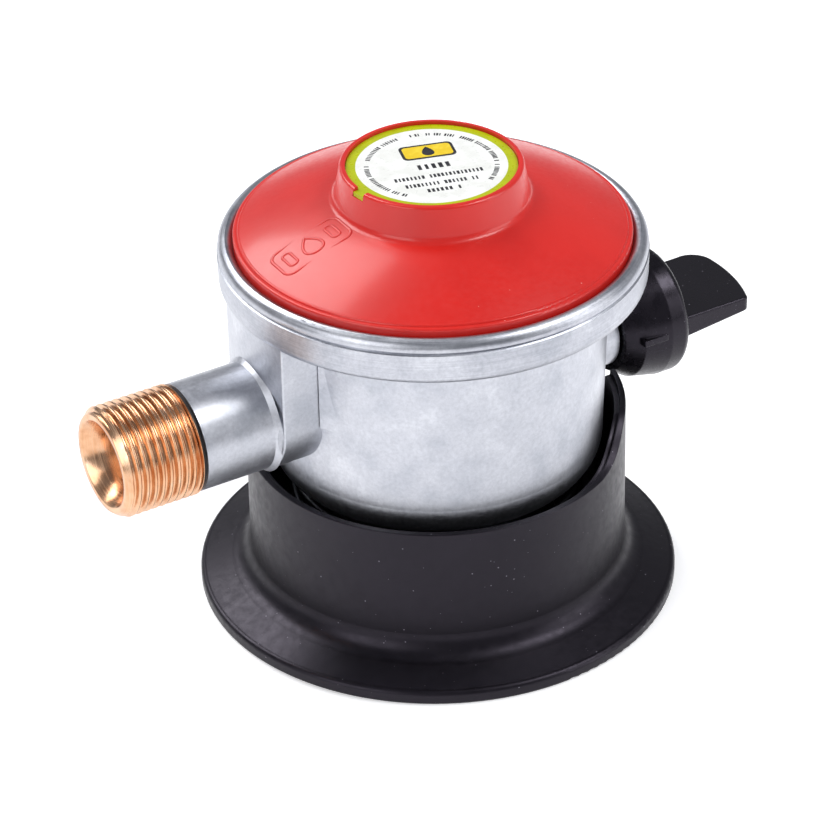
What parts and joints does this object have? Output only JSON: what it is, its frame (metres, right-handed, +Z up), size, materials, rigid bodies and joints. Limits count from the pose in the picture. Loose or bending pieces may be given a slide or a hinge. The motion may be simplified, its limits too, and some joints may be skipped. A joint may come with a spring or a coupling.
{
  "type": "gas regulator",
  "caption": "Clip-on gas cylinder regulator: cast diaphragm housing with a domed cover, threaded outlet, on-off knob and a spring-loaded locking ring.",
  "frame": {"origin": "on the valve socket's axis, in the plane of the socket's mouth, which is also the plane that the locking ring stands on", "axes": "+Z up along the socket's axis, towards the cover; -X along the outlet, +X along the knob's shaft; +Y completes the right-handed frame"},
  "size_m": [0.1304, 0.087, 0.084],
  "materials": {
    "die_cast": "as-cast die-cast alloy, tumbled, faintly mottled",
    "red_coat": "satin red powder coat",
    "label": "printed label film, white with a lime ring",
    "turned_aluminium": "turned",
    "spring_steel": "drawn wire",
    "zinc_plated_steel": "zinc plated",
    "ball_steel": "ground and polished",
    "brass": "bright turned",
    "rubber": "moulded",
    "fibre": "vulcanised fibre",
    "gauze": "woven wire",
    "black_plastic": "satin moulded nylon",
    "black_gloss_plastic": "semi-gloss moulded nylon"
  },
  "bodies": {
    "housing": {"body_casting": "die_cast", "cover": "red_coat", "label_disc": "label", "adjuster_screw": "turned_aluminium", "main_spring": "spring_steel", "diaphragm": "rubber", "pivot_bracket": "zinc_plated_steel", "lever_pin": "spring_steel", "bracket_screws": "zinc_plated_steel", "inlet_nozzle": "brass", "inlet_spigot": "brass", "spigot_gasket": "fibre", "nose_o_ring": "rubber", "pin_o_ring": "rubber", "inlet_filter": "gauze", "passage_plug": "ball_steel", "push_pin_spring": "spring_steel", "shaft_lock_pin": "spring_steel", "outlet_nipple": "brass", "nipple_seal": "rubber", "ring_spring": "spring_steel", "ring_clip": "spring_steel"},
    "diaphragm_stack": {"diaphragm_plate": "zinc_plated_steel", "diaphragm_stem": "turned_aluminium", "stem_nut": "zinc_plated_steel"},
    "lever_arm": {"lever": "turned_aluminium", "seat_pad": "rubber"},
    "valve_pin": {"push_pin": "brass"},
    "control_knob": {"knob_shaft": "zinc_plated_steel", "shaft_o_ring": "rubber", "knob": "black_gloss_plastic"},
    "release_ring": {"locking_ring": "black_plastic"},
    "ball_1": {"lock_ball_1": "ball_steel"},
    "ball_2": {"lock_ball_2": "ball_steel"},
    "ball_3": {"lock_ball_3": "ball_steel"},
    "ball_4": {"lock_ball_4": "ball_steel"},
    "ball_5": {"lock_ball_5": "ball_steel"},
    "ball_6": {"lock_ball_6": "ball_steel"}
  },
  "joints": [
    {"name": "ring_lift", "type": "slide", "parent": "housing", "child": "release_ring", "axis": [0, 0, 1], "range_m": [0, 0.0044], "stiffness_N_per_m": 1500, "springref_m": -0.01, "deforming": ["ring_spring"]},
    {"name": "ball_1_out", "type": "slide", "parent": "housing", "child": "ball_1", "axis": [0.866, 0.5, 0], "range_m": [0, 0.0013]},
    {"name": "ball_2_out", "type": "slide", "parent": "housing", "child": "ball_2", "axis": [0, 1, 0], "range_m": [0, 0.0013]},
    {"name": "ball_3_out", "type": "slide", "parent": "housing", "child": "ball_3", "axis": [-0.866, 0.5, 0], "range_m": [0, 0.0013]},
    {"name": "ball_4_out", "type": "slide", "parent": "housing", "child": "ball_4", "axis": [-0.866, -0.5, 0], "range_m": [0, 0.0013]},
    {"name": "ball_5_out", "type": "slide", "parent": "housing", "child": "ball_5", "axis": [0, -1, 0], "range_m": [0, 0.0013]},
    {"name": "ball_6_out", "type": "slide", "parent": "housing", "child": "ball_6", "axis": [0.866, -0.5, 0], "range_m": [0, 0.0013]},
    {"name": "knob_turn", "type": "hinge", "parent": "housing", "child": "control_knob", "pos_m": [0, 0, 0.04], "axis": [1, 0, 0], "range_deg": [0, 90]},
    {"name": "pin_push", "type": "slide", "parent": "housing", "child": "valve_pin", "axis": [0, 0, -1], "range_m": [0, 0.00255], "deforming": ["push_pin_spring"]},
    {"name": "diaphragm_rise", "type": "slide", "parent": "housing", "child": "diaphragm_stack", "axis": [0, 0, 1], "range_m": [0, 0.0012], "stiffness_N_per_m": 2000, "springref_m": -0.006, "deforming": ["diaphragm", "main_spring"]},
    {"name": "lever_rock", "type": "hinge", "parent": "housing", "child": "lever_arm", "pos_m": [0, 0.0085, 0.057], "axis": [-1, 0, 0], "range_deg": [0, 8.2]}
  ],
  "couplings": [
    {"joint": "ball_1_out", "follows": "ring_lift", "ratio": 0.28409},
    {"joint": "ball_2_out", "follows": "ring_lift", "ratio": 0.28409},
    {"joint": "ball_3_out", "follows": "ring_lift", "ratio": 0.28409},
    {"joint": "ball_4_out", "follows": "ring_lift", "ratio": 0.28409},
    {"joint": "ball_5_out", "follows": "ring_lift", "ratio": 0.28409},
    {"joint": "ball_6_out", "follows": "ring_lift", "ratio": 0.28409},
    {"joint": "pin_push", "follows": "knob_turn", "m_per_rad": 0.0015915},
    {"joint": "lever_rock", "follows": "diaphragm_rise", "rad_per_m": 117.65}
  ]
}
